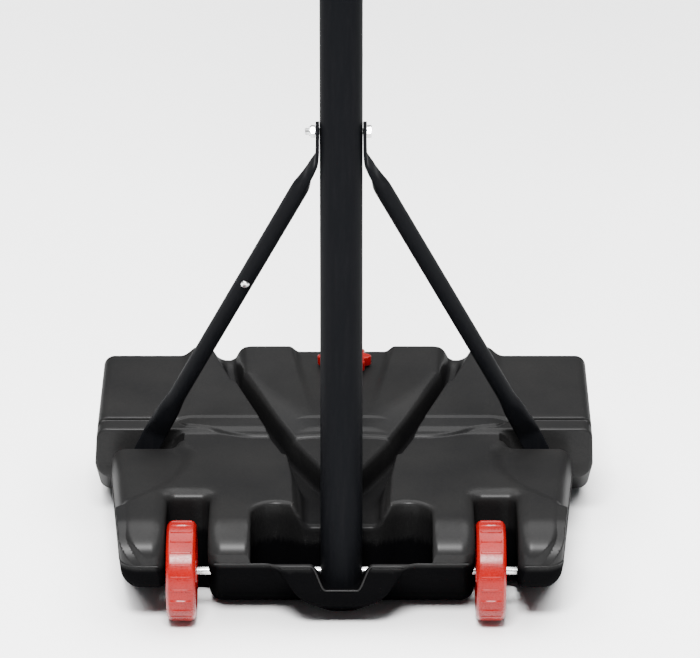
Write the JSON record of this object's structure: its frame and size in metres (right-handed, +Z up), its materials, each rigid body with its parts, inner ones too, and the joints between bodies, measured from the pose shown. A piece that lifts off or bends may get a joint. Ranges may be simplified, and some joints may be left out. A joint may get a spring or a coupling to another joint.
{
  "type": "portable basketball hoop",
  "caption": "Portable basketball hoop: fillable wheeled base with a strutted telescoping pole, a backboard, a rim and a net.",
  "frame": {"origin": "point on the flat underside of the base, 200 mm behind the pole's axis and on the base's middle plane", "axes": "+Z up along the pole; +X to the right and +Y away from a player who faces the board"},
  "size_m": [0.76, 1.18, 2.065],
  "materials": {
    "charcoal_plastic": "satin, finely textured",
    "fill_water": "clear liquid",
    "seal_rubber": "matte",
    "red_plastic": "glossy",
    "zinc_plate": "bright zinc",
    "black_powder_coat": "satin",
    "black_trim_plastic": "matte",
    "white_board": "satin",
    "red_powder_coat": "satin",
    "white_net_cord": "braided cord"
  },
  "bodies": {
    "base": {"base_tank": "charcoal_plastic", "ballast_water": "fill_water", "wheel_axle": "zinc_plate", "axle_cap_left": "black_trim_plastic", "axle_cap_right": "black_trim_plastic", "lower_pole": "black_powder_coat", "pole_collar": "black_trim_plastic", "strut_left": "black_powder_coat", "strut_right": "black_powder_coat", "strut_bolt": "zinc_plate", "strut_nut": "zinc_plate", "strut_screw": "zinc_plate", "foot_bolt_left": "zinc_plate", "foot_bolt_right": "zinc_plate", "foot_insert_left": "zinc_plate", "foot_insert_right": "zinc_plate"},
    "wheel_left": {"wheel_left": "red_plastic"},
    "wheel_right": {"wheel_right": "red_plastic"},
    "cap_seal": {"filler_gasket": "seal_rubber"},
    "filler_cap": {"filler_cap": "red_plastic"},
    "clamp_knob": {"clamp_screw": "zinc_plate", "clamp_knob": "black_trim_plastic"},
    "mast": {"upper_pole": "black_powder_coat", "pole_top_cap": "black_trim_plastic", "board_bracket_left": "black_powder_coat", "board_bracket_right": "black_powder_coat", "mast_bolt_lower": "zinc_plate", "mast_bolt_upper": "zinc_plate", "mast_nut_lower": "zinc_plate", "mast_nut_upper": "zinc_plate", "backboard_panel": "white_board", "board_rail_top": "black_trim_plastic", "board_rail_bottom": "black_trim_plastic", "board_rail_left": "black_trim_plastic", "board_rail_right": "black_trim_plastic", "board_bolt_1": "zinc_plate", "board_bolt_2": "zinc_plate", "board_bolt_3": "zinc_plate", "board_bolt_4": "zinc_plate", "board_nut_1": "zinc_plate", "board_nut_2": "zinc_plate", "board_nut_3": "zinc_plate", "board_nut_4": "zinc_plate", "rim_bracket": "red_powder_coat", "rim_ring": "red_powder_coat", "net": "white_net_cord"}
  },
  "joints": [
    {"name": "wheel_left_spin", "type": "hinge", "parent": "base", "child": "wheel_left", "pos_m": [-0.1908, -0.2, 0.063], "axis": [1, 0, 0], "continuous": true},
    {"name": "wheel_right_spin", "type": "hinge", "parent": "base", "child": "wheel_right", "pos_m": [0.1782, -0.2, 0.063], "axis": [1, 0, 0], "continuous": true},
    {"name": "height_slide", "type": "slide", "parent": "base", "child": "mast", "axis": [0, 0, 1], "range_m": [0, 0.45]},
    {"name": "knob_turn", "type": "hinge", "parent": "base", "child": "clamp_knob", "pos_m": [0, -0.14, 1.24], "axis": [0, 1, 0], "range_deg": [0, 360]},
    {"name": "cap_lift", "type": "slide", "parent": "base", "child": "cap_seal", "axis": [0, 0, 1], "range_m": [0, 0.08]},
    {"name": "cap_turn", "type": "hinge", "parent": "cap_seal", "child": "filler_cap", "pos_m": [0.003, 0.232, 0.165], "axis": [0, 0, 1], "continuous": true}
  ]
}
